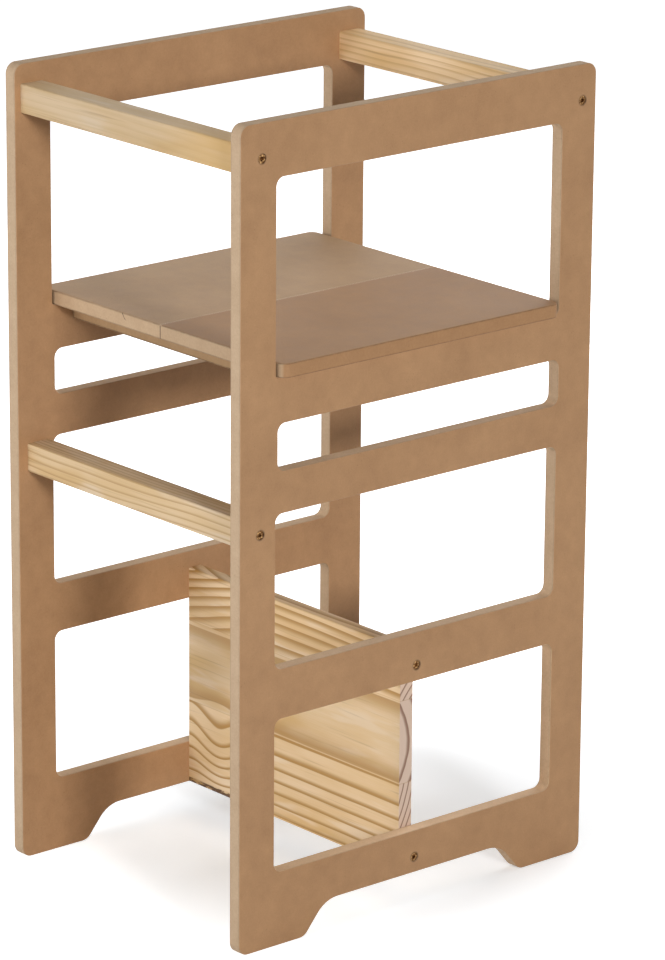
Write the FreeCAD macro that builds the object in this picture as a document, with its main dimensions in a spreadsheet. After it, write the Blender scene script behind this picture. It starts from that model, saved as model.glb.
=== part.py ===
import FreeCAD, Part
import os
from types import SimpleNamespace

import Sketcher

# A kitchen helper stool for a toddler. Two panel frames stand on the floor, joined by three rails and an
# upright stretcher. A platform of two boards on battens rests on the ledges of the panels' top windows,
# stands a little out of them at both sides and lifts out.
#
# The origin lies on the floor under the middle of the stool. X runs from the left panel to the right
# panel, Y from the front, where the child climbs in, to the rear, and Z up. All lengths are millimetres.

SIZES = {
    # the whole stool
    "stool_width": 392.0,
    "stool_depth": 494.0,
    # side panels: the heights of their openings and cross members, from the floor to the top
    "foot_height": 35.0,
    "bottom_member": 48.5,
    "lower_window": 171.5,
    "lower_member": 55.5,
    "middle_window": 170.5,
    "middle_member": 46.0,
    "narrow_window": 51.5,
    "ledge_member": 50.0,
    "top_window": 211.5,
    "top_member": 60.0,
    # side panels: thickness, uprights, corners and feet
    "panel_thickness": 16.0,
    "stile_width": 48.0,
    "narrow_front_shift": 3.0,
    "narrow_rear_shift": 1.5,
    "panel_corner_radius": 12.0,
    "window_corner_radius": 10.0,
    "panel_arris": 1.0,
    "foot_length": 91.0,
    "foot_slope_run": 29.5,
    "foot_toe_radius": 14.0,
    "foot_arch_radius": 36.0,
    # rails
    "rail_depth": 30.0,
    "rail_height": 32.0,
    "rail_arris": 2.0,
    "top_rail_inset": 8.0,
    "front_rail_drop": 21.5,
    "rear_rail_drop": 23.5,
    "middle_rail_inset": 12.5,
    "middle_rail_drop": 2.0,
    # upright stretcher
    "stretcher_thickness": 18.0,
    "stretcher_lap": 36.0,
    "stretcher_arris": 1.5,
    # platform
    "board_thickness": 16.0,
    "left_board_width": 208.0,
    "board_seam": 0.3,
    "board_arris": 1.5,
    "platform_overhang": 9.0,
    "platform_front_gap": 2.5,
    "platform_rear_gap": 6.0,
    "platform_corner_radius": 10.0,
    "ledge_corner_clearance": 0.5,
    "batten_height": 19.0,
    "batten_depth": 30.0,
    "batten_setback": 25.0,
    "batten_side_gap": 2.0,
    "batten_arris": 1.0,
    # connecting screws
    "screw_length": 50.0,
    "screw_diameter": 7.0,
    "screw_tip": 4.0,
    "screw_head_diameter": 10.0,
    "screw_head_height": 3.0,
    "screw_head_rim": 1.0,
    "screw_head_sink": 0.8,
    "socket_width": 4.5,
    "socket_depth": 2.4,
    "front_screw_offset": 5.5,
    "rear_screw_offset": 3.5,
    "middle_screw_offset": 0.0,
    # dowels beside the screws
    "dowel_diameter": 6.0,
    "dowel_length": 30.0,
    "dowel_chamfer": 0.8,
    "dowel_panel_cover": 6.0,
    "dowel_front_edge": 7.0,
    "dowel_lower_edge": 8.0,
    # screws of the battens
    "batten_screw_diameter": 4.0,
    "batten_screw_tip": 3.0,
    "batten_screw_head": 8.0,
    "batten_screw_head_height": 2.5,
    "batten_screw_head_rim": 0.5,
    "batten_screw_head_sink": 0.4,
    "batten_screw_cover": 5.0,
    "batten_screw_end": 25.0,
    "batten_screw_seam": 35.0,
    "batten_socket_width": 3.0,
    "batten_socket_depth": 1.5,
    # running room of fasteners in their holes, on the radius and past the end
    "hole_clearance": 0.15,
    "hole_end_room": 1.0,
}


class Size:
    """A length as a number and as the expression that ties it to the sheet."""

    def __init__(self, value, text):
        self.value = value
        self.text = text

    def __add__(self, other):
        other = as_size(other)
        return Size(self.value + other.value, f"({self.text} + {other.text})")

    def __sub__(self, other):
        other = as_size(other)
        return Size(self.value - other.value, f"({self.text} - {other.text})")

    def __mul__(self, factor):
        return Size(self.value * factor, f"({self.text} * {factor})")

    def __truediv__(self, divisor):
        return Size(self.value / divisor, f"({self.text} / {divisor})")

    def __neg__(self):
        return self * -1


def as_size(length):
    if isinstance(length, Size):
        return length
    return Size(float(length), str(length))


document = FreeCAD.newDocument("helper_stool")
sheet = document.addObject("Spreadsheet::Sheet", "Sizes")
for row, (alias, number) in enumerate(SIZES.items(), start=1):
    sheet.set(f"A{row}", alias)
    sheet.set(f"B{row}", str(number))
    sheet.setAlias(f"B{row}", alias)
document.recompute()

size = SimpleNamespace(**{alias: Size(number, f"Sizes.{alias}") for alias, number in SIZES.items()})
ZERO = as_size(0)
SAME_PLACE = 0.01
TIP_TAPER = 3


# ---------------------------------------------------------------- heights and places shared by the pieces

PANEL_STACK = ("foot_height", "bottom_member", "lower_window", "lower_member", "middle_window",
               "middle_member", "narrow_window", "ledge_member", "top_window", "top_member")


def height_below(alias):
    """Height above the floor of the underside of one band of the side panels."""
    total = ZERO
    for band in PANEL_STACK[:PANEL_STACK.index(alias)]:
        total = total + getattr(size, band)
    return total


stool_height = height_below("top_member") + size.top_member
ledge_level = height_below("top_window")
inner_width = size.stool_width - size.panel_thickness * 2
inner_left = -(inner_width / 2)
stool_left = -(size.stool_width / 2)
panel_front = -(size.stool_depth / 2)
window_front = panel_front + size.stile_width
platform_left = stool_left - size.platform_overhang
platform_front = window_front + size.platform_front_gap
platform_depth = (size.stool_depth - size.stile_width * 2 - size.platform_front_gap
                  - size.platform_rear_gap)
right_board_width = (size.stool_width + size.platform_overhang * 2 - size.left_board_width
                     - size.board_seam)
right_board_left = platform_left + size.left_board_width + size.board_seam
batten_length = inner_width - size.batten_side_gap * 2
batten_left = inner_left + size.batten_side_gap
batten_level = ledge_level - size.batten_height
front_batten_front = platform_front + size.batten_setback
rear_batten_front = platform_front + platform_depth - size.batten_setback - size.batten_depth

stretcher_height = size.bottom_member + size.lower_window + size.stretcher_lap
stretcher_front = -(size.stretcher_thickness / 2)
stretcher_screw_levels = (size.foot_height + size.stretcher_lap / 2,
                          size.foot_height + stretcher_height - size.stretcher_lap / 2)

# Each rail: the Y of its front face, the Z of its underside and how far its screw lies behind its middle.
RAILS = {
    "top_front_rail": (panel_front + size.top_rail_inset,
                       stool_height - size.front_rail_drop - size.rail_height,
                       size.front_screw_offset),
    "top_rear_rail": (-panel_front - size.top_rail_inset - size.rail_depth,
                      stool_height - size.rear_rail_drop - size.rail_height,
                      size.rear_screw_offset),
    "middle_front_rail": (panel_front + size.middle_rail_inset,
                          height_below("middle_member") - size.middle_rail_drop - size.rail_height,
                          size.middle_screw_offset),
}

screw_hole_diameter = size.screw_diameter + size.hole_clearance * 2
screw_head_bore = size.screw_head_diameter + size.hole_clearance * 2
screw_head_bore_depth = size.screw_head_sink + size.screw_head_height
screw_depth_in_rail = size.screw_head_sink + size.screw_length - size.panel_thickness
dowel_hole_diameter = size.dowel_diameter + size.hole_clearance * 2
dowel_depth_in_panel = size.panel_thickness - size.dowel_panel_cover
dowel_depth_in_rail = size.dowel_length - dowel_depth_in_panel
batten_screw_depth_in_board = size.board_thickness - size.batten_screw_cover
batten_screw_length = size.batten_height - size.batten_screw_head_sink + batten_screw_depth_in_board
batten_screw_hole = size.batten_screw_diameter + size.hole_clearance * 2


def rail_screw_in_section(offset):
    """Place of a rail's screw in its end, from the rail's front lower edge."""
    return size.rail_depth / 2 + offset, size.rail_height / 2


def rail_dowel_in_section():
    """Place of a rail's dowel in its end, from the rail's front lower edge."""
    return size.dowel_front_edge, size.dowel_lower_edge


def batten_screw_places():
    """X of the four screws of a batten: two in each board."""
    seam = right_board_left - size.board_seam / 2
    return (batten_left + size.batten_screw_end,
            seam - size.batten_screw_seam,
            seam + size.batten_screw_seam,
            batten_left + batten_length - size.batten_screw_end)


# ---------------------------------------------------------------- helpers for bodies and sketches

def bind(thing, path, length):
    thing.setExpression(path, length.text)


def place(thing, x, y, z):
    """Puts a sub-part in the stool's frame."""
    for axis, length in zip("xyz", (x, y, z)):
        bind(thing, f"Placement.Base.{axis}", length)


def new_body(name):
    body = document.addObject("PartDesign::Body", name)
    body.Label = name
    return body


def new_sketch(body, name, plane, height=None):
    """A sketch on one of the body's own origin planes, or the given height along the plane's normal."""
    sketch = body.newObject("Sketcher::SketchObject", name)
    support = [feature for feature in body.Origin.OriginFeatures if feature.Role == plane]
    sketch.AttachmentSupport = [(support[0], "")]
    sketch.MapMode = "FlatFace"
    if height is not None:
        bind(sketch, "AttachmentOffset.Base.z", height)
    return sketch


def pin(sketch, element, point, across, up):
    """Dimensions one point of a sketch from the sketch's origin."""
    for direction, length in (("DistanceX", across), ("DistanceY", up)):
        index = sketch.addConstraint(
            Sketcher.Constraint(direction, -1, 1, element, point, length.value))
        bind(sketch, f"Constraints[{index}]", length)


def draw_polygon(sketch, corners):
    """A closed outline through corners, each dimensioned from the sketch's origin."""
    points = [FreeCAD.Vector(across.value, up.value, 0) for across, up in corners]
    lines = []
    for start, end in zip(points, points[1:] + points[:1]):
        lines.append(sketch.addGeometry(Part.LineSegment(start, end), False))
    for line, following in zip(lines, lines[1:] + lines[:1]):
        sketch.addConstraint(Sketcher.Constraint("Coincident", line, 2, following, 1))
    for line, (across, up) in zip(lines, corners):
        pin(sketch, line, 1, across, up)


def draw_rectangle(sketch, left, lower, width, height):
    draw_polygon(sketch, [(left, lower), (left + width, lower),
                          (left + width, lower + height), (left, lower + height)])


def draw_circles(sketch, diameter, centres):
    for across, up in centres:
        centre = FreeCAD.Vector(across.value, up.value, 0)
        circle = sketch.addGeometry(
            Part.Circle(centre, FreeCAD.Vector(0, 0, 1), diameter.value / 2), False)
        pin(sketch, circle, 3, across, up)
        index = sketch.addConstraint(Sketcher.Constraint("Diameter", circle, diameter.value))
        bind(sketch, f"Constraints[{index}]", diameter)


def pad(body, name, sketch, length):
    """Fills a sketch along its normal."""
    feature = body.newObject("PartDesign::Pad", name)
    feature.Profile = sketch
    bind(feature, "Length", length)
    document.recompute()
    return feature


def cut(body, name, sketch, depth, along_normal):
    """Cuts a sketch from the body, depth deep, along the sketch's normal or against it."""
    before = body.Tip.Shape.Volume
    feature = body.newObject("PartDesign::Pocket", name)
    feature.Profile = sketch
    feature.Reversed = along_normal
    bind(feature, "Length", depth)
    document.recompute()
    if feature.Shape.Volume >= before - SAME_PLACE:
        raise RuntimeError(f"{name} cuts nothing")
    return feature


def round_edges(body, name, radius, wanted):
    """Rounds the edges of the body that the test called wanted picks out."""
    edges = body.Tip.Shape.Edges
    names = [f"Edge{number}" for number, edge in enumerate(edges, start=1) if wanted(edge)]
    if not names:
        raise RuntimeError(f"{name} finds no edge")
    base = body.Tip
    feature = body.newObject("PartDesign::Fillet", name)
    feature.Base = (base, names)
    bind(feature, "Radius", radius)
    document.recompute()
    return feature


def runs_along(edge, axis):
    """Whether an edge is straight and parallel to X, Y or Z, numbered 0, 1 or 2."""
    if not isinstance(edge.Curve, (Part.Line, Part.LineSegment)):
        return False
    start, end = edge.Vertexes[0].Point, edge.Vertexes[-1].Point
    return all(abs(start[other] - end[other]) < SAME_PLACE for other in range(3) if other != axis)


def lies_in_plane(edge, axis, level):
    box = edge.BoundBox
    lowest = (box.XMin, box.YMin, box.ZMin)[axis]
    highest = (box.XMax, box.YMax, box.ZMax)[axis]
    return abs(lowest - level) < SAME_PLACE and abs(highest - level) < SAME_PLACE


def corner_picker(corners):
    """A test for edges that run through the panel at one of the corners, given as Y and Z."""
    places = [(y.value, z.value) for y, z in corners]

    def wanted(edge):
        if not runs_along(edge, 0):
            return False
        point = edge.Vertexes[0].Point
        return any(abs(point.y - y) < SAME_PLACE and abs(point.z - z) < SAME_PLACE for y, z in places)

    return wanted


# ---------------------------------------------------------------- side panels

def window_corners(alias, front_shift=ZERO, rear_shift=ZERO):
    """The four corners of a window from the panel's front lower corner, lower ones first."""
    lower = height_below(alias)
    upper = lower + getattr(size, alias)
    front = size.stile_width + front_shift
    rear = size.stool_depth - size.stile_width + rear_shift
    return [(front, lower), (rear, lower), (rear, upper), (front, upper)]


def foot_outline():
    """The panel's outline from its front lower corner, with the cut-out that leaves two feet."""
    foot_inner = size.foot_length
    arch_start = foot_inner + size.foot_slope_run
    return [(ZERO, ZERO), (foot_inner, ZERO), (arch_start, size.foot_height),
            (size.stool_depth - arch_start, size.foot_height), (size.stool_depth - foot_inner, ZERO),
            (size.stool_depth, ZERO), (size.stool_depth, stool_height), (ZERO, stool_height)]


def panel_screw_places():
    """Y and Z of the five screws, from the panel's front lower corner."""
    places = []
    for front, lower, offset in RAILS.values():
        across, up = rail_screw_in_section(offset)
        places.append((front - panel_front + across, lower + up))
    for level in stretcher_screw_levels:
        places.append((-panel_front, level))
    return places


def panel_dowel_places():
    places = []
    across, up = rail_dowel_in_section()
    for front, lower, _ in RAILS.values():
        places.append((front - panel_front + across, lower + up))
    return places


def build_side_panel(name, is_right):
    """A panel frame, flat from its outer to its inner face along X, with its holes."""
    body = new_body(name)
    outline = new_sketch(body, f"{name}_outline", "YZ_Plane")
    draw_polygon(outline, foot_outline())
    pad(body, f"{name}_pad", outline, size.panel_thickness)

    windows = new_sketch(body, f"{name}_windows", "YZ_Plane")
    top_window = window_corners("top_window")
    plain_windows = [window_corners("lower_window"), window_corners("middle_window"),
                     window_corners("narrow_window", size.narrow_front_shift, size.narrow_rear_shift)]
    for corners in plain_windows + [top_window]:
        draw_polygon(windows, corners)
    cut(body, f"{name}_window_cut", windows, size.panel_thickness, True)

    outer_corners = [foot_outline()[index] for index in (0, 5, 6, 7)]
    toe_corners = [foot_outline()[index] for index in (1, 4)]
    arch_corners = [foot_outline()[index] for index in (2, 3)]
    rounded_window_corners = sum(plain_windows, []) + top_window[2:]
    ledge_corners = {"front": (size.platform_front_gap, top_window[0]),
                     "rear": (size.platform_rear_gap, top_window[1])}
    round_edges(body, f"{name}_outer_corners", size.panel_corner_radius, corner_picker(outer_corners))
    round_edges(body, f"{name}_toes", size.foot_toe_radius, corner_picker(toe_corners))
    round_edges(body, f"{name}_arch", size.foot_arch_radius, corner_picker(arch_corners))
    round_edges(body, f"{name}_window_corners", size.window_corner_radius,
                corner_picker(rounded_window_corners))
    for end, (gap, corner) in ledge_corners.items():
        round_edges(body, f"{name}_ledge_{end}_corner", gap + size.board_arris - size.ledge_corner_clearance,
                    corner_picker([corner]))
    round_edges(body, f"{name}_arris", size.panel_arris,
                lambda edge: lies_in_plane(edge, 0, 0.0)
                or lies_in_plane(edge, 0, size.panel_thickness.value))

    outer_face = size.panel_thickness if is_right else ZERO
    inner_face = ZERO if is_right else size.panel_thickness
    through = new_sketch(body, f"{name}_screw_holes", "YZ_Plane")
    draw_circles(through, screw_hole_diameter, panel_screw_places())
    cut(body, f"{name}_screw_cut", through, size.panel_thickness, True)
    heads = new_sketch(body, f"{name}_head_bores", "YZ_Plane", outer_face)
    draw_circles(heads, screw_head_bore, panel_screw_places())
    cut(body, f"{name}_head_cut", heads, screw_head_bore_depth, not is_right)
    dowels = new_sketch(body, f"{name}_dowel_holes", "YZ_Plane", inner_face)
    draw_circles(dowels, dowel_hole_diameter, panel_dowel_places())
    cut(body, f"{name}_dowel_cut", dowels, dowel_depth_in_panel + size.hole_end_room, is_right)

    panel_left = inner_width / 2 if is_right else stool_left
    place(body, panel_left, panel_front, ZERO)
    return body


# ---------------------------------------------------------------- rails and stretcher between the panels

def build_cross_piece(name, depth, height, arris, front, lower, holes):
    """A bar of wood between the panels. Each kind of hole has a diameter, depth and places in the end."""
    body = new_body(name)
    section = new_sketch(body, f"{name}_section", "YZ_Plane")
    draw_rectangle(section, ZERO, ZERO, depth, height)
    pad(body, f"{name}_pad", section, inner_width)
    round_edges(body, f"{name}_arris", arris, lambda edge: runs_along(edge, 0))
    for kind, (diameter, hole_depth, places) in holes.items():
        for end, level, along_normal in (("left", ZERO, True), ("right", inner_width, False)):
            sketch = new_sketch(body, f"{name}_{kind}_hole_{end}", "YZ_Plane", level)
            draw_circles(sketch, diameter, places)
            cut(body, f"{name}_{kind}_cut_{end}", sketch, hole_depth, along_normal)
    place(body, inner_left, front, lower)
    return body


def build_rail(name):
    front, lower, offset = RAILS[name]
    holes = {
        "screw": (screw_hole_diameter, screw_depth_in_rail + size.hole_end_room,
                  [rail_screw_in_section(offset)]),
        "dowel": (dowel_hole_diameter, dowel_depth_in_rail + size.hole_end_room,
                  [rail_dowel_in_section()]),
    }
    return build_cross_piece(name, size.rail_depth, size.rail_height, size.rail_arris, front, lower, holes)


def build_stretcher():
    places = [(size.stretcher_thickness / 2, level - size.foot_height) for level in stretcher_screw_levels]
    holes = {"screw": (screw_hole_diameter, screw_depth_in_rail + size.hole_end_room, places)}
    return build_cross_piece("stretcher_board", size.stretcher_thickness, stretcher_height,
                             size.stretcher_arris, stretcher_front, size.foot_height, holes)


# ---------------------------------------------------------------- platform

def build_platform_board(name, left, width, seam_x, outer_x, screw_places):
    """One board of the platform, with rounded outer corners and a square edge at the seam."""
    body = new_body(name)
    plan = new_sketch(body, f"{name}_plan", "XY_Plane")
    draw_rectangle(plan, ZERO, ZERO, width, platform_depth)
    pad(body, f"{name}_pad", plan, size.board_thickness)
    round_edges(body, f"{name}_corners", size.platform_corner_radius,
                lambda edge: runs_along(edge, 2) and lies_in_plane(edge, 0, outer_x.value))
    round_edges(body, f"{name}_arris", size.board_arris,
                lambda edge: not lies_in_plane(edge, 0, seam_x.value)
                and (lies_in_plane(edge, 2, 0.0) or lies_in_plane(edge, 2, size.board_thickness.value)))
    pilots = new_sketch(body, f"{name}_pilots", "XY_Plane")
    centres = []
    for batten_front in (front_batten_front, rear_batten_front):
        for x in screw_places:
            centres.append((x - left, batten_front - platform_front + size.batten_depth / 2))
    draw_circles(pilots, batten_screw_hole, centres)
    cut(body, f"{name}_pilot_cut", pilots, batten_screw_depth_in_board + size.hole_end_room, True)
    place(body, left, platform_front, ledge_level)
    return body


def build_batten(name, front):
    """A batten under both boards, with sunk holes for the screws driven from below."""
    body = new_body(name)
    section = new_sketch(body, f"{name}_section", "YZ_Plane")
    draw_rectangle(section, ZERO, ZERO, size.batten_depth, size.batten_height)
    pad(body, f"{name}_pad", section, batten_length)
    round_edges(body, f"{name}_arris", size.batten_arris,
                lambda edge: runs_along(edge, 0) and lies_in_plane(edge, 2, 0.0))
    centres = [(x - batten_left, size.batten_depth / 2) for x in batten_screw_places()]
    through = new_sketch(body, f"{name}_screw_holes", "XY_Plane")
    draw_circles(through, batten_screw_hole, centres)
    cut(body, f"{name}_screw_cut", through, size.batten_height, True)
    heads = new_sketch(body, f"{name}_head_bores", "XY_Plane")
    draw_circles(heads, size.batten_screw_head + size.hole_clearance * 2, centres)
    cut(body, f"{name}_head_cut", heads, size.batten_screw_head_sink + size.batten_screw_head_height, True)
    place(body, batten_left, front, batten_level)
    return body


# ---------------------------------------------------------------- fasteners

def add_cylinder(name, radius, height, level):
    cylinder = document.addObject("Part::Cylinder", name)
    bind(cylinder, "Radius", radius)
    bind(cylinder, "Height", height)
    bind(cylinder, "Placement.Base.z", level)
    return cylinder


def add_cone(name, lower_radius, upper_radius, height, level):
    cone = document.addObject("Part::Cone", name)
    bind(cone, "Radius1", lower_radius)
    bind(cone, "Radius2", upper_radius)
    bind(cone, "Height", height)
    bind(cone, "Placement.Base.z", level)
    return cone


def join(name, pieces):
    """One solid out of pieces that meet end to end."""
    solid = document.addObject("Part::MultiFuse", name)
    solid.Shapes = pieces
    solid.Refine = True
    return solid


def turn_along(thing, direction):
    """Turns a fastener made along +Z so that it points in the given direction."""
    thing.Placement.Rotation = FreeCAD.Rotation(FreeCAD.Vector(0, 0, 1), FreeCAD.Vector(*direction))


def build_screw(name, direction, spot, head, shank, socket):
    """A screw that points in the given direction from its head's top, with a socket of six sides.

    The head has a radius, a height and the height of its straight rim, and the shank a radius, a length
    from the head's top and the length of its tip.
    """
    head_radius, head_height, rim = head
    shank_radius, length, tip = shank
    socket_width, socket_depth = socket
    solid = join(f"{name}_solid", [
        add_cylinder(f"{name}_rim", head_radius, rim, ZERO),
        add_cone(f"{name}_neck", head_radius, shank_radius, head_height - rim, rim),
        add_cylinder(f"{name}_shank", shank_radius, length - head_height - tip, head_height),
        add_cone(f"{name}_tip", shank_radius, shank_radius / TIP_TAPER, tip, length - tip),
    ])
    hexagon = document.addObject("Part::Prism", f"{name}_socket")
    hexagon.Polygon = 6
    hexagon.setExpression("Circumradius", f"{socket_width.text} / sqrt(3)")
    bind(hexagon, "Height", socket_depth)
    screw = document.addObject("Part::Cut", name)
    screw.Label = name
    screw.Base = solid
    screw.Tool = hexagon
    turn_along(screw, direction)
    place(screw, *spot)
    return screw


def build_connecting_screw(name, side, y, z):
    """A screw through a side panel into the end of a cross piece. Side is 1 at right and -1 at left."""
    head_top = (size.stool_width / 2 - size.screw_head_sink) * side
    return build_screw(
        name, (-side, 0, 0), (head_top, y, z),
        (size.screw_head_diameter / 2, size.screw_head_height, size.screw_head_rim),
        (size.screw_diameter / 2, size.screw_length, size.screw_tip),
        (size.socket_width, size.socket_depth))


def build_batten_screw(name, x, y):
    return build_screw(
        name, (0, 0, 1), (x, y, batten_level + size.batten_screw_head_sink),
        (size.batten_screw_head / 2, size.batten_screw_head_height, size.batten_screw_head_rim),
        (size.batten_screw_diameter / 2, batten_screw_length, size.batten_screw_tip),
        (size.batten_socket_width, size.batten_socket_depth))


def build_dowel(name, side, y, z):
    """A dowel across the joint between a rail's end and the panel, with chamfered ends."""
    radius, chamfer = size.dowel_diameter / 2, size.dowel_chamfer
    dowel = join(name, [
        add_cone(f"{name}_start", radius - chamfer, radius, chamfer, ZERO),
        add_cylinder(f"{name}_rod", radius, size.dowel_length - chamfer * 2, chamfer),
        add_cone(f"{name}_end", radius, radius - chamfer, chamfer, size.dowel_length - chamfer),
    ])
    dowel.Label = name
    turn_along(dowel, (-side, 0, 0))
    place(dowel, (inner_width / 2 + dowel_depth_in_panel) * side, y, z)
    return dowel


def group(name, members):
    """Identical fasteners of one joint, kept as separate solids in one sub-part."""
    compound = document.addObject("Part::Compound", name)
    compound.Label = name
    compound.Links = members
    return compound


# ---------------------------------------------------------------- the stool

def build_frame():
    pieces = [build_side_panel("side_panel_right", True), build_side_panel("side_panel_left", False)]
    pieces.extend(build_rail(name) for name in RAILS)
    pieces.append(build_stretcher())
    for side, side_name in ((1, "right"), (-1, "left")):
        for rail, (front, lower, offset) in RAILS.items():
            across, up = rail_screw_in_section(offset)
            pieces.append(build_connecting_screw(
                f"{rail}_screw_{side_name}", side, front + across, lower + up))
            across, up = rail_dowel_in_section()
            pieces.append(build_dowel(f"{rail}_dowel_{side_name}", side, front + across, lower + up))
        name = f"stretcher_screws_{side_name}"
        pieces.append(group(name, [build_connecting_screw(f"{name}_{number}", side, ZERO, level)
                                   for number, level in enumerate(stretcher_screw_levels, start=1)]))
    return pieces


def build_platform():
    screw_places = batten_screw_places()
    pieces = [
        build_platform_board("platform_board_left", platform_left, size.left_board_width,
                             size.left_board_width, ZERO, screw_places[:2]),
        build_platform_board("platform_board_right", right_board_left, right_board_width,
                             ZERO, right_board_width, screw_places[2:]),
    ]
    for end, front in (("front", front_batten_front), ("rear", rear_batten_front)):
        pieces.append(build_batten(f"platform_batten_{end}", front))
        name = f"batten_screws_{end}"
        middle = front + size.batten_depth / 2
        pieces.append(group(name, [build_batten_screw(f"{name}_{number}", x, middle)
                                   for number, x in enumerate(screw_places, start=1)]))
    return pieces


def check(pieces):
    """Stops if any object has failed or any sub-part has no sound solid."""
    for thing in document.Objects:
        if "Invalid" in thing.State or "Error" in thing.State:
            raise RuntimeError(f"{thing.Name} has failed: {thing.State}")
    for piece in pieces:
        if piece.Shape.isNull() or not piece.Shape.isValid() or not piece.Shape.Solids:
            raise RuntimeError(f"{piece.Label} has no valid solid")


sub_parts = build_frame() + build_platform()
document.recompute()
check(sub_parts)

os.makedirs("parts", exist_ok=True)
for sub_part in sub_parts:
    sub_part.Shape.exportStep(f"parts/{sub_part.Label}.step")
    bounds = sub_part.Shape.BoundBox
    print(f"{sub_part.Label}: {len(sub_part.Shape.Solids)} solids, "
          f"X {bounds.XMin:.1f}..{bounds.XMax:.1f}, Y {bounds.YMin:.1f}..{bounds.YMax:.1f}, "
          f"Z {bounds.ZMin:.1f}..{bounds.ZMax:.1f}, volume {sub_part.Shape.Volume / 1000:.1f} cm3")
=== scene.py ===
from collections import namedtuple
import math

import bpy
from mathutils import Matrix, Vector


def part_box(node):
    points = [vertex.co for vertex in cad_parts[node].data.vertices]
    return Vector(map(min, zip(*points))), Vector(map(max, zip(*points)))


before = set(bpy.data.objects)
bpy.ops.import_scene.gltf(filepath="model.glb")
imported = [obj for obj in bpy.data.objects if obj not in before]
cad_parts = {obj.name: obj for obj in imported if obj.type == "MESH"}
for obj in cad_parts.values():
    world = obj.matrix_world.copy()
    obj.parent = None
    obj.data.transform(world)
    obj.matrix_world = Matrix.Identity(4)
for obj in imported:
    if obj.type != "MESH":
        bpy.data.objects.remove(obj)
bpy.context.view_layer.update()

# The look of a kitchen helper stool for a toddler: fibreboard panels and platform, pine rails and
# stretcher, dulled screws, a pale floor and soft light. Lengths are metres in the frame of the solids: X to
# the right panel, Y to the rear and Z up.

X_AXIS, Z_AXIS = 0, 2

# ---------------------------------------------------------------- tones, as linear red, green and blue

PANEL_TONES = {"dark": (0.350, 0.190, 0.090), "light": (0.458, 0.260, 0.128)}
PANEL_EDGE_TONES = {"dark": (0.400, 0.272, 0.165), "light": (0.550, 0.396, 0.260)}
LEFT_BOARD_TONES = {"dark": (0.395, 0.250, 0.138), "light": (0.500, 0.330, 0.188)}
RIGHT_BOARD_TONES = {"dark": (0.310, 0.170, 0.080), "light": (0.405, 0.232, 0.113)}
BOARD_EDGE_TONES = {"dark": (0.400, 0.262, 0.150), "light": (0.540, 0.375, 0.230)}
BOARD_SIDE_TONES = {"dark": (0.290, 0.147, 0.062), "light": (0.395, 0.212, 0.094)}
BATTEN_TONES = {"dark": (0.300, 0.180, 0.088), "light": (0.400, 0.252, 0.130)}
# The painted highlight along the seam between the platform boards.
SEAM_HIGHLIGHT_TONE = (0.620, 0.450, 0.300)
GAP_SHADE = (0.060, 0.030, 0.014)
FLECK_TONE = (0.120, 0.060, 0.030)
# The painted shade in the rims round the screw holes.
HOLE_RIM_SHADE = (0.100, 0.055, 0.025)

PINE_EARLY = (0.670, 0.470, 0.250)
PINE_PALE = (0.745, 0.560, 0.355)
PINE_SAP = (0.760, 0.610, 0.440)
PINE_GOLD = (0.560, 0.335, 0.110)
PINE_STREAK = (0.240, 0.120, 0.050)
PINE_LATE = (0.410, 0.225, 0.068)
PINE_END = (0.680, 0.510, 0.400)
PINE_END_LATE = (0.240, 0.125, 0.080)
PINE_TINGE = (0.620, 0.370, 0.110)
PINE_CHIP = (0.110, 0.050, 0.018)

DOWEL_TONES = {"dark": (0.450, 0.290, 0.160), "light": (0.560, 0.390, 0.225)}
SCREW_TONES = {"dark": (0.100, 0.040, 0.014), "light": (0.520, 0.310, 0.130)}

FLOOR_TONE = (0.770, 0.800, 0.830)
WHITE = (1.0, 1.0, 1.0)


# ---------------------------------------------------------------- node building

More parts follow.
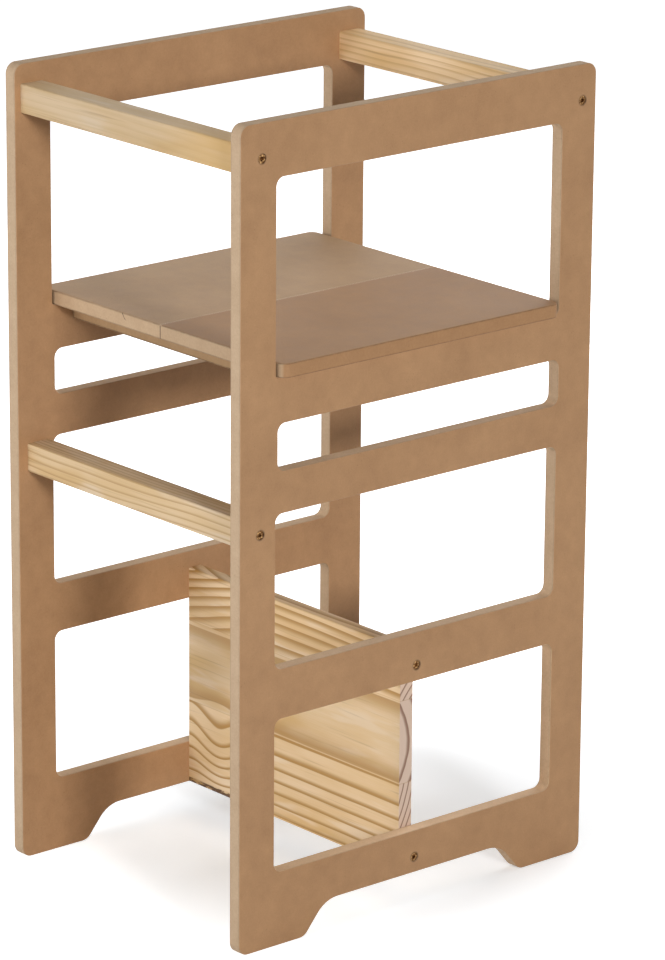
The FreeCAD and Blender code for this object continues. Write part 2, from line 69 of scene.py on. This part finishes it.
class Nodes:
    """Makes nodes in a tree. Values are numbers, colours, vectors or sockets."""

    def __init__(self, tree):
        self.tree = tree

    def feed(self, socket, value):
        if isinstance(value, bpy.types.NodeSocket):
            self.tree.links.new(value, socket)
        elif isinstance(value, tuple) and len(value) == 3 and socket.type == "RGBA":
            socket.default_value = (*value, 1)
        else:
            socket.default_value = value

    def node(self, kind, settings=(), **inputs):
        made = self.tree.nodes.new(f"ShaderNode{kind}")
        for name, value in dict(settings).items():
            setattr(made, name, value)
        for name, value in inputs.items():
            self.feed(made.inputs[name.replace("_", " ")], value)
        return made

    def math(self, operation, *values, clamp=False):
        made = self.node("Math", {"operation": operation, "use_clamp": clamp})
        for socket, value in zip(made.inputs, values):
            self.feed(socket, value)
        return made.outputs[0]

    def vector_math(self, operation, first, second):
        made = self.node("VectorMath", {"operation": operation})
        self.feed(made.inputs[0], first)
        self.feed(made.inputs[1], second)
        return made.outputs

    def total(self, *values, clamp=False):
        """The sum of two or more values, held between 0 and 1 if clamp is set."""
        *others, last = values
        result = others[0]
        for value in others[1:]:
            result = self.math("ADD", result, value)
        return self.math("ADD", result, last, clamp=clamp)

    def minus(self, first, second):
        return self.math("SUBTRACT", first, second)

    def times(self, first, second):
        return self.math("MULTIPLY", first, second)

    def gap(self, value, place):
        """How far a coordinate lies from a place, to either side."""
        return self.math("ABSOLUTE", self.minus(value, place))

    def length(self, first, second):
        """The length of the slanting side over two square ones."""
        return self.math("SQRT", self.math("ADD", self.math("POWER", first, 2.0),
                                           self.math("POWER", second, 2.0)))

    def step(self, value, low, high, bottom=0.0, top=1.0):
        """bottom before low, top past high and smooth between, also where high is the smaller number."""
        made = self.node("MapRange", {"interpolation_type": "SMOOTHSTEP"}, Value=value)
        ends = (bottom, top) if low < high else (top, bottom)
        made.inputs["From Min"].default_value = min(low, high)
        made.inputs["From Max"].default_value = max(low, high)
        made.inputs["To Min"].default_value, made.inputs["To Max"].default_value = ends
        return made.outputs[0]

    def separate(self, vector):
        made = self.node("SeparateXYZ", Vector=vector)
        return made.outputs[0], made.outputs[1], made.outputs[2]

    def noise(self, place, scale, detail, roughness, spread):
        """Smooth noise about 0, from -spread to spread at most."""
        made = self.node("TexNoise", {"noise_dimensions": "3D"}, Vector=place, Scale=scale,
                         Detail=detail, Roughness=roughness)
        return self.times(self.minus(made.outputs[0], 0.5), 2 * spread)

    def grain(self, place, along, across, detail, roughness, spread):
        """Noise drawn out along X: along is its scale on X, and across is its scale on Y and Z."""
        drawn_out = self.vector_math("MULTIPLY", place, (along, across, across))["Vector"]
        return self.noise(drawn_out, 1.0, detail, roughness, spread)

    def mix(self, factor, first, second):
        made = self.node("Mix", {"data_type": "RGBA"})
        self.feed(made.inputs[0], factor)
        self.feed(made.inputs[6], first)
        self.feed(made.inputs[7], second)
        return made.outputs[2]

    def shade(self, factor, tones):
        """A colour between the dark tone and the light one."""
        return self.mix(factor, tones["dark"], tones["light"])

    def brighten(self, colour, factor):
        return self.node("HueSaturation", Color=colour, Value=factor).outputs[0]


class Shader(Nodes):
    """A material with one principled surface, and the place and normal of each spot on it."""

    def __init__(self, name):
        self.material = bpy.data.materials.new(name)
        self.material.use_nodes = True
        super().__init__(self.material.node_tree)
        self.tree.nodes.clear()
        self.principled = self.node("BsdfPrincipled")
        self.node("OutputMaterial", Surface=self.principled.outputs[0])
        spot = self.node("TexCoord").outputs
        self.place = spot["Object"]
        self.normal = spot["Normal"]

    def bump(self, height, distance, strength):
        made = self.node("Bump", Height=height, Distance=distance, Strength=strength)
        self.feed(self.principled.inputs["Normal"], made.outputs[0])

    def finish(self, colour, roughness, specular=0.5, metallic=0.0):
        self.feed(self.principled.inputs["Base Color"], colour)
        self.feed(self.principled.inputs["Roughness"], roughness)
        self.principled.inputs["Specular IOR Level"].default_value = specular
        self.principled.inputs["Metallic"].default_value = metallic
        return self.material


# ---------------------------------------------------------------- fibreboard

Layer = namedtuple("Layer", "axis middle half")
WindowLight = namedtuple("WindowLight", "sides sills low_down")

# Where the painted light on the edges of a panel's windows starts and where it is full: inwards from its
# front and rear, down from its top, and down into the lowest windows.
INSIDE_OF_PANEL = (0.232, 0.212)
UNDER_TOP_OF_PANEL = (0.872, 0.852)
LOWEST_WINDOWS = (0.300, 0.240)

HOLE_RADIUS = 0.0050
SHADED_RIM_RADIUS = 0.0069


def layer_of(node, axis):
    """A board's thin axis, the distance of its middle plane from the origin and half its thickness."""
    low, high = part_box(node)
    return Layer(axis, (low[axis] + high[axis]) / 2, (high[axis] - low[axis]) / 2)


class Fibreboard(Shader):
    """Bare fibreboard: smooth faces square to its thin axis, and cut edges with a coarser core."""

    def __init__(self, name, layer):
        super().__init__(name)
        self.x, self.y, self.z = self.separate(self.place)
        self.facing = self.separate(self.normal)
        height = self.math("ABSOLUTE", (self.x, self.y, self.z)[layer.axis])
        self.offset = self.gap(height, layer.middle)
        self.half = layer.half
        self.is_edge = self.step(self.math("ABSOLUTE", self.facing[layer.axis]), 0.93, 0.60)
        self.blotch = self.noise(self.place, scale=60, detail=4, roughness=0.6, spread=0.55)
        self.fuzz = self.noise(self.place, scale=380, detail=4, roughness=0.7, spread=0.5)

    def uneven(self, scale, detail, roughness, spread, mean):
        """A patchy strength between 0 and 1."""
        return self.total(self.noise(self.place, scale, detail, roughness, spread), mean, clamp=True)

    def face_colour(self, tones):
        cloud = self.noise(self.place, scale=11, detail=4, roughness=0.6, spread=0.65)
        fibres = self.noise(self.place, scale=520, detail=3, roughness=0.65, spread=0.42)
        return self.shade(self.total(cloud, self.blotch, fibres, 0.5, clamp=True), tones)

    def edge_colour(self, tones, side_tones):
        """The cut edges, darker towards the skins. side_tones are for those that face along X."""
        skin = self.step(self.offset, self.half * 0.62, self.half * 0.98)
        streak = self.noise(self.place, scale=42, detail=3, roughness=0.6, spread=0.4)
        tone = self.total(self.fuzz, streak, self.times(skin, -0.28), 0.62, clamp=True)
        colour = self.shade(tone, tones)
        if side_tones:
            is_side = self.step(self.math("ABSOLUTE", self.facing[X_AXIS]), 0.45, 0.80)
            colour = self.mix(is_side, colour, self.shade(tone, side_tones))
        return colour

    def with_painted_window_light(self, colour, windows):
        """Painted light on the edges inside the panel's outline, stronger on the sills and low down."""
        inside = self.times(self.step(self.math("ABSOLUTE", self.y), *INSIDE_OF_PANEL),
                            self.step(self.z, *UNDER_TOP_OF_PANEL))
        painted_lift = self.total(windows.sides,
                          self.times(self.step(self.facing[Z_AXIS], 0.5, 0.9), windows.sills),
                          self.times(self.step(self.z, *LOWEST_WINDOWS), windows.low_down))
        return self.brighten(colour, self.total(self.times(painted_lift, inside), 1.0))

    def with_painted_corner_shade(self, colour, strength):
        """Painted shade along the long corners of the cut edges, patchy."""
        corner_shade_mask = self.times(self.step(self.offset, self.half * 0.76, self.half * 0.94),
                            self.uneven(scale=150, detail=3, roughness=0.6, spread=0.7, mean=0.55))
        return self.mix(self.times(corner_shade_mask, strength), colour, GAP_SHADE)

    def with_crack(self, colour, crack_x, crack_z):
        """A short slanting crack across the upper part of a front or rear edge."""
        wander = self.noise(self.place, scale=190, detail=2, roughness=0.5, spread=0.0012)
        slant = self.times(self.minus(self.z, crack_z), 0.7)
        apart = self.math("ABSOLUTE", self.total(self.minus(self.x, crack_x), slant, wander))
        line = self.times(self.step(apart, 0.0012, 0.0003), self.step(self.z, crack_z, crack_z + 0.002))
        return self.mix(self.times(line, 0.8), colour, GAP_SHADE)

    def with_flecks(self, colour):
        """Small dark flecks, in patches."""
        cells = self.node("TexVoronoi", {"feature": "F1"}, Vector=self.place, Scale=210.0, Randomness=1.0)
        patches = self.noise(self.place, scale=31, detail=2, roughness=0.5, spread=1.0)
        fleck = self.times(self.step(cells.outputs["Distance"], 0.20, 0.08), self.step(patches, 0.06, 0.30))
        return self.mix(self.times(fleck, 0.22), colour, FLECK_TONE)

    def with_seam(self, colour, seam_x):
        """The joint with the next board: a patchy painted highlight on the top, and painted shade in the gap
        everywhere else.
        """
        apart = self.gap(self.x, seam_x)
        seam_highlight = self.times(self.uneven(scale=13, detail=2, roughness=0.5, spread=0.5, mean=0.70),
                          self.step(self.facing[Z_AXIS], 0.10, 0.40))
        colour = self.mix(self.times(self.step(apart, 0.0021, 0.0010), seam_highlight), colour, SEAM_HIGHLIGHT_TONE)
        shaded = self.times(self.step(self.facing[Z_AXIS], 0.40, 0.10), 0.65)
        return self.mix(self.times(self.step(apart, 0.0012, 0.0004), shaded), colour, GAP_SHADE)

    def with_shaded_hole_rims(self, colour, holes):
        """Painted shade in patchy rims round holes along X, given by their Y and Z."""
        patchy = self.uneven(scale=260, detail=2, roughness=0.5, spread=0.5, mean=0.62)
        for hole_y, hole_z in holes:
            apart = self.length(self.minus(self.y, hole_y), self.minus(self.z, hole_z))
            rim_shade = self.times(self.step(apart, SHADED_RIM_RADIUS, HOLE_RADIUS), patchy)
            colour = self.mix(rim_shade, colour, HOLE_RIM_SHADE)
        return colour

    def complete(self, colour, specular):
        """Fuzzy relief and a matt surface, both stronger on the cut edges."""
        relief = self.total(self.noise(self.place, scale=900, detail=3, roughness=0.7, spread=0.5),
                            self.times(self.times(self.fuzz, self.is_edge), 2.5))
        self.bump(relief, distance=0.00012, strength=0.5)
        roughness = self.total(self.times(self.is_edge, 0.14), 0.58, self.times(self.blotch, 0.18))
        return self.finish(colour, roughness, specular)


def fibre_board(name, layer, face, edge, corners, side=None, windows=None, crack=None, seam=None, holes=(),
                specular=0.25):
    """A fibreboard material.

    face, edge and side are tones of the faces, of the cut edges and of those that face along X, and corners
    is how dark the painted shade along the long corners of the cut edges is. windows says how much painted
    light brightens the edges of a panel's windows on all sides, on the sills besides, and in the lowest
    windows besides. crack is the X and Z of a crack, seam is the X of the joint with the next board, and
    holes are the Y and Z of screw holes, which get painted shade round their rims.
    """
    board = Fibreboard(name, layer)
    cut = board.edge_colour(edge, side)
    if windows:
        # painted light on the edges of the windows
        cut = board.with_painted_window_light(cut, windows)
    # painted shade along the long corners of the cut edges
    cut = board.with_painted_corner_shade(cut, corners)
    if crack:
        cut = board.with_crack(cut, *crack)
    colour = board.with_flecks(board.mix(board.is_edge, board.face_colour(face), cut))
    if seam is not None:
        colour = board.with_seam(colour, seam)
    if holes:
        # painted shade round the screw holes
        colour = board.with_shaded_hole_rims(colour, holes)
    return board.complete(colour, specular)


# ---------------------------------------------------------------- pine

# A stave is the Y and Z of its rings' centre, the width of a year ring, how far the grain falls on the way
# to +X, how strongly the late wood shows, where in a ring it starts and how light the stave is.
Stave = namedtuple("Stave", "pith_y pith_z ring_width fall late_wood onset lightness")

# A bend is the X and Z of a spot where the grain dips, its size and the dip in each stave; it is longer on Z
# than on X. A flare is the X left of which the grain falls away, and how steeply in each stave.
Bend = namedtuple("Bend", "x z size dips")
Flare = namedtuple("Flare", "x slopes")

BEND_SQUEEZE = 0.6
STAVES_APART = 3.7
LATE_WOOD_FULL = 0.90
RING_END = (1.0, 0.94)


class Pine(Shader):
    """Planed pine with its length along X, glued up from staves, the lowest first."""

    def __init__(self, name, staves, joints, offset):
        super().__init__(name)
        self.x, self.y, self.z = self.separate(self.place)
        self.joints = joints
        self.stave = Stave(*(self.by_stave(values) for values in zip(*staves)))
        shift = self.by_stave([STAVES_APART * number for number in range(len(staves))])
        shift = self.node("CombineXYZ", X=shift, Y=0.0, Z=0.0).outputs[0]
        self.wood_place = self.vector_math("ADD", self.place, offset)["Vector"]
        self.wood_place = self.vector_math("ADD", self.wood_place, shift)["Vector"]
        self.in_end = self.step(self.math("ABSOLUTE", self.separate(self.normal)[X_AXIS]), 0.6, 0.95)
        self.streaks = self.fibres(along=14.0, across=700.0, detail=3, roughness=0.6, spread=0.5)

    def by_stave(self, values):
        """One value for the height of each stave."""
        result = values[0]
        for joint, before, after in zip(self.joints, values, values[1:]):
            above = self.math("GREATER_THAN", self.z, joint)
            result = self.total(result, self.times(above, after - before))
        return result

    def fibres(self, along, across, detail, roughness, spread):
        return self.grain(self.wood_place, along, across, detail, roughness, spread)

    def rings(self, sway, bend, flare):
        """How far each spot lies through its year ring, from 0 to 1."""
        wander = self.fibres(along=3.0, across=9.0, detail=2, roughness=0.5, spread=sway)
        upward = self.total(self.minus(self.z, self.stave.pith_z),
                            self.times(self.x, self.stave.fall), wander)
        if bend:
            apart = self.length(self.minus(self.x, bend.x),
                                self.minus(self.times(self.z, BEND_SQUEEZE), bend.z * BEND_SQUEEZE))
            nearness = self.step(apart, bend.size, 0.0)
            upward = self.total(upward, self.times(nearness, self.by_stave(bend.dips)))
        if flare:
            past = self.math("MAXIMUM", self.minus(flare.x, self.x), 0.0)
            upward = self.total(upward, self.times(past, self.by_stave(flare.slopes)))
        radius = self.length(self.minus(self.y, self.stave.pith_y), upward)
        uneven = self.fibres(along=1.5, across=40.0, detail=1, roughness=0.5, spread=sway * 30)
        return self.math("FRACT", self.total(self.math("DIVIDE", radius, self.stave.ring_width), uneven))

    def late_wood(self, ring):
        """Late wood grows from its onset to the end of the ring and stops there at once."""
        grown = self.math("DIVIDE", self.minus(ring, self.stave.onset),
                          self.minus(LATE_WOOD_FULL, self.stave.onset))
        return self.times(self.step(grown, 0.0, 1.0), self.step(ring, *RING_END))

    def long_grain(self, late_wood):
        """Pale early wood with golden and sappy patches, late wood and fine dark threads."""
        broad = self.fibres(along=7.0, across=38.0, detail=2, roughness=0.5, spread=1.3)
        colour = self.mix(self.total(self.streaks, broad, 0.5, clamp=True), PINE_EARLY, PINE_PALE)
        gold = self.fibres(along=6.0, across=28.0, detail=2, roughness=0.5, spread=1.0)
        colour = self.mix(self.times(self.step(gold, 0.02, 0.40), 0.50), colour, PINE_GOLD)
        sap = self.fibres(along=9.0, across=55.0, detail=2, roughness=0.5, spread=1.0)
        colour = self.mix(self.times(self.step(sap, 0.08, 0.35), 0.60), colour, PINE_SAP)
        colour = self.mix(self.times(late_wood, self.stave.late_wood), colour, PINE_LATE)
        threads = self.fibres(along=7.0, across=330.0, detail=2, roughness=0.5, spread=1.0)
        colour = self.mix(self.times(self.step(threads, 0.16, 0.50), 0.30), colour, PINE_STREAK)
        return self.brighten(colour, self.stave.lightness)

    def end_grain(self, ring):
        """Thin dark arcs and fine pores."""
        pores = self.noise(self.wood_place, scale=1400, detail=2, roughness=0.6, spread=0.5)
        arcs = self.times(self.step(ring, 0.60, 0.86), self.step(ring, *RING_END))
        tone = self.total(self.times(arcs, 0.90), self.times(pores, 0.25), clamp=True)
        return self.mix(tone, PINE_END, PINE_END_LATE)

    def with_tinge(self, colour, start_x, full_x):
        return self.mix(self.times(self.step(self.x, start_x, full_x), 0.55), colour, PINE_TINGE)

    def with_glue_lines(self, colour):
        for joint in self.joints:
            line = self.step(self.gap(self.z, joint), 0.0008, 0.0002)
            colour = self.mix(self.times(line, 0.30), colour, PINE_LATE)
        return colour

    def with_chips(self, colour, chips_x, chips_z):
        """Torn, dark chips along the lower arris, left of chips_x and below chips_z."""
        chipped = self.times(self.step(self.x, chips_x, chips_x - 0.01),
                             self.step(self.z, chips_z, chips_z - 0.0015))
        torn = self.fibres(along=75.0, across=300.0, detail=4, roughness=0.7, spread=1.0)
        return self.mix(self.times(chipped, self.step(torn, -0.20, 0.04)), colour, PINE_CHIP)

    def complete(self, colour, late_wood):
        """A relief of late wood and fibres, smoother on late wood and rougher on the ends."""
        self.bump(self.total(self.times(late_wood, 0.9), self.times(self.streaks, 0.8)),
                  distance=0.00010, strength=0.5)
        roughness = self.total(self.times(self.in_end, 0.16), 0.52, self.times(late_wood, -0.10))
        return self.finish(colour, roughness, specular=0.25)


def pine(name, staves, offset, joints=(), sway=0.010, bend=None, flare=None, tinge=None, chips=None):
    """A pine material.

    offset makes the wood of each piece its own, joints are the heights of the glue lines and sway is how far
    the grain wanders. tinge is the X where a yellow tinge starts and where it is full, and chips are the X
    and Z up to which the lower arris is chipped.
    """
    wood = Pine(name, staves, joints, offset)
    ring = wood.rings(sway, bend, flare)
    late_wood = wood.late_wood(ring)
    colour = wood.long_grain(late_wood)
    if tinge:
        colour = wood.with_tinge(colour, *tinge)
    colour = wood.mix(wood.in_end, colour, wood.end_grain(ring))
    colour = wood.with_glue_lines(colour)
    if chips:
        colour = wood.with_chips(colour, *chips)
    return wood.complete(colour, late_wood)


# ---------------------------------------------------------------- screws and dowels

def screw_metal(name):
    """Yellow plating, dulled and darkened in patches."""
    shader = Shader(name)
    wear = shader.noise(shader.place, scale=420, detail=4, roughness=0.65, spread=1.0)
    wear = shader.step(wear, -0.15, 0.35)
    shader.bump(shader.noise(shader.place, scale=900, detail=3, roughness=0.6, spread=0.5),
                distance=0.00010, strength=0.5)
    roughness = shader.total(shader.times(wear, -0.16), 0.52)
    return shader.finish(shader.shade(wear, SCREW_TONES), roughness, metallic=1.0)


def beech(name):
    """Turned beech with its length along X."""
    shader = Shader(name)
    streaks = shader.grain(shader.place, along=30.0, across=700.0, detail=3, roughness=0.6, spread=0.5)
    shader.bump(streaks, distance=0.00010, strength=0.4)
    colour = shader.shade(shader.total(streaks, 0.5, clamp=True), DOWEL_TONES)
    return shader.finish(colour, shader.total(shader.times(streaks, 0.10), 0.55))


# ---------------------------------------------------------------- materials on the sub-parts

RAILS = ("top_front_rail", "top_rear_rail", "middle_front_rail")
SIDES = ("right", "left")
ENDS = ("front", "rear")


def dress(node, material):
    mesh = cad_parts[node].data
    mesh.materials.clear()
    mesh.materials.append(material)


def screw_places():
    """The Y and Z of the connecting screws: one for each rail and two for the stretcher."""
    places = []
    for rail in RAILS:
        low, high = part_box(f"{rail}_screw_right")
        middle = (low + high) / 2
        places.append((middle.y, middle.z))
    low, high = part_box("stretcher_screws_right")
    head_radius = (high.y - low.y) / 2
    return places + [(0.0, low.z + head_radius), (0.0, high.z - head_radius)]


def dress_panels():
    # Painted light on the window edges, with more in the lowest windows of the right panel.
    low_down_painted_light = {"right": 0.36, "left": 0.0}
    for side in SIDES:
        windows = WindowLight(sides=0.10, sills=0.22, low_down=low_down_painted_light[side])
        dress(f"side_panel_{side}", fibre_board(
            f"panel_board_{side}", layer_of("side_panel_right", X_AXIS), PANEL_TONES, PANEL_EDGE_TONES,
            corners=0.25, windows=windows, holes=screw_places()))


def dress_platform():
    face_tones = {"right": RIGHT_BOARD_TONES, "left": LEFT_BOARD_TONES}
    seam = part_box("platform_board_left")[1].x
    for side in SIDES:
        layer = layer_of(f"platform_board_{side}", Z_AXIS)
        dress(f"platform_board_{side}", fibre_board(
            f"platform_board_{side}", layer, face_tones[side], BOARD_EDGE_TONES, side=BOARD_SIDE_TONES,
            corners=0.70, crack=(-0.056, layer.middle), seam=seam, specular=0.45))
    batten = fibre_board("batten", layer_of("platform_batten_front", Z_AXIS), BATTEN_TONES, BATTEN_TONES,
                         corners=1.0)
    for end in ENDS:
        dress(f"platform_batten_{end}", batten)


def dress_rails():
    dress("top_front_rail", pine(
        "pine_top_front",
        [Stave(pith_y=-0.190, pith_z=0.905, ring_width=0.0060, fall=0.010, late_wood=0.15, onset=0.38,
               lightness=0.79)],
        offset=(0.3, 0.1, 0.2), tinge=(0.02, 0.17)))
    dress("top_rear_rail", pine(
        "pine_top_rear",
        [Stave(pith_y=0.270, pith_z=0.780, ring_width=0.0055, fall=0.006, late_wood=0.45, onset=0.45,
               lightness=1.20)],
        offset=(1.3, 0.4, 0.7)))
    dress("middle_front_rail", pine(
        "pine_middle",
        [Stave(pith_y=-0.120, pith_z=0.560, ring_width=0.0050, fall=-0.008, late_wood=0.62, onset=0.55,
               lightness=0.90)],
        offset=(2.1, 0.9, 0.3)))


def dress_stretcher():
    staves = [
        Stave(pith_y=-0.2126, pith_z=0.185, ring_width=0.0068, fall=0.0, late_wood=1.00, onset=0.58,
              lightness=1.08),
        Stave(pith_y=-0.073, pith_z=0.1815, ring_width=0.0157, fall=0.0, late_wood=0.80, onset=0.25,
              lightness=1.00),
        Stave(pith_y=0.110, pith_z=0.150, ring_width=0.0078, fall=0.0, late_wood=1.00, onset=0.25,
              lightness=1.05)]
    dress("stretcher_board", pine(
        "pine_stretcher", staves, offset=(0.7, 0.2, 0.9), joints=(0.134, 0.229), sway=0.0045,
        bend=Bend(x=-0.128, z=0.106, size=0.052, dips=(0.020, -0.010, 0.0)),
        flare=Flare(x=-0.105, slopes=(0.0, 0.0, 0.24)), chips=(-0.100, 0.0415)))


def dress_fasteners():
    steel = screw_metal("screw_metal")
    dowel = beech("dowel_wood")
    for side in SIDES:
        for rail in RAILS:
            dress(f"{rail}_screw_{side}", steel)
            dress(f"{rail}_dowel_{side}", dowel)
        dress(f"stretcher_screws_{side}", steel)
    for end in ENDS:
        dress(f"batten_screws_{end}", steel)


dress_panels()
dress_platform()
dress_rails()
dress_stretcher()
dress_fasteners()


# ---------------------------------------------------------------- floor and surroundings

FLOOR_SIZE = 40
FLOOR_LEVEL = -0.0003

# The floor glows white where seen directly: weakly round the middle of the shadow and fully beyond its reach,
# where the glow hides the shadow.
WHITE_IN_SHADOW = 0.40
SHADOW_MIDDLE = (-0.01, 0.12, 0.0)
SHADOW_REACH = (0.16, 0.50)

SURROUNDING_LIGHT = 0.02


def seen_directly(nodes):
    """1 for rays from the camera, mirror rays and rays through glass, and 0 for the rest."""
    path = nodes.node("LightPath").outputs
    seen = path["Is Camera Ray"]
    for name in ("Is Glossy Ray", "Is Transmission Ray"):
        seen = nodes.math("MAXIMUM", seen, path[name])
    return seen


def make_floor():
    """A pale floor that keeps the stool's shadow near it and glows white away from it where seen directly."""
    bpy.ops.mesh.primitive_plane_add(size=FLOOR_SIZE, location=(0, 0, FLOOR_LEVEL))
    floor = bpy.context.object
    floor.name = "floor"
    material = bpy.data.materials.new("floor")
    material.use_nodes = True
    nodes = Nodes(material.node_tree)
    nodes.tree.nodes.clear()
    place = nodes.node("TexCoord").outputs["Object"]
    apart = nodes.vector_math("DISTANCE", place, SHADOW_MIDDLE)["Value"]
    white = nodes.step(apart, *SHADOW_REACH, bottom=WHITE_IN_SHADOW, top=1.0)
    glow = nodes.node("Emission", Color=WHITE, Strength=nodes.times(white, seen_directly(nodes)))
    matt = nodes.node("BsdfDiffuse", Color=FLOOR_TONE)
    both = nodes.node("AddShader")
    nodes.feed(both.inputs[0], matt.outputs[0])
    nodes.feed(both.inputs[1], glow.outputs[0])
    nodes.node("OutputMaterial", Surface=both.outputs[0])
    floor.data.materials.append(material)


def make_surroundings():
    """White to look at, and nearly dark as a light."""
    world = bpy.data.worlds.new("surroundings")
    bpy.context.scene.world = world
    world.use_nodes = True
    nodes = Nodes(world.node_tree)
    background = nodes.tree.nodes["Background"]
    strength = nodes.node("MapRange", Value=seen_directly(nodes), To_Min=SURROUNDING_LIGHT, To_Max=1.0)
    nodes.feed(background.inputs["Color"], WHITE)
    nodes.feed(background.inputs["Strength"], strength.outputs[0])


make_floor()
make_surroundings()


# ---------------------------------------------------------------- soft lights

Lamp = namedtuple("Lamp", "name place aim width height power")

LAMPS = (
    Lamp("light_key", place=(6.0, -1.60, 2.05), aim=(0, 0, 0.45), width=1.20, height=0.88, power=240),
    Lamp("light_front", place=(-0.30, -3.1, 0.6), aim=(0, 0, 0.35), width=1.5, height=1.5, power=52),
    Lamp("light_front_left", place=(-1.9, -3.0, 1.9), aim=(0, 0, 0.4), width=2.2, height=2.2, power=22),
    Lamp("light_overhead", place=(0.0, 0.2, 3.6), aim=(0, 0, 0.3), width=3.0, height=3.0, power=34),
    Lamp("light_rear", place=(-0.8, 3.2, 1.3), aim=(0, 0, 0.3), width=2.4, height=1.2, power=66),
)


def make_soft_light(lamp):
    light = bpy.data.lights.new(lamp.name, "AREA")
    light.shape = "RECTANGLE"
    light.size = lamp.width
    light.size_y = lamp.height
    light.energy = lamp.power
    holder = bpy.data.objects.new(lamp.name, light)
    holder.location = lamp.place
    holder.rotation_euler = (Vector(lamp.aim) - Vector(lamp.place)).to_track_quat("-Z", "Y").to_euler()
    bpy.context.scene.collection.objects.link(holder)


for lamp in LAMPS:
    make_soft_light(lamp)


# ---------------------------------------------------------------- camera

def make_camera(place, azimuth, elevation, roll, lens):
    """Azimuth 0 looks along +Y, elevation is above the horizon and roll turns the picture, in degrees."""
    turn, rise, tilt = (math.radians(angle) for angle in (azimuth, elevation, roll))
    back = Vector((math.sin(turn) * math.cos(rise), -math.cos(turn) * math.cos(rise), math.sin(rise)))
    level_right = Vector((math.cos(turn), math.sin(turn), 0))
    level_up = back.cross(level_right)
    right = level_right * math.cos(tilt) + level_up * math.sin(tilt)
    up = level_up * math.cos(tilt) - level_right * math.sin(tilt)
    lens_data = bpy.data.cameras.new("camera")
    lens_data.sensor_width = 36
    lens_data.lens = lens
    camera = bpy.data.objects.new("camera", lens_data)
    camera.matrix_world = Matrix.Translation(place) @ Matrix((right, up, back)).transposed().to_4x4()
    bpy.context.scene.collection.objects.link(camera)
    bpy.context.scene.camera = camera


make_camera(place=(4.00808, -3.41460, 2.03680), azimuth=49.1761, elevation=16.9224, roll=0.4348, lens=188.952)
bpy.context.scene.view_settings.view_transform = "Standard"
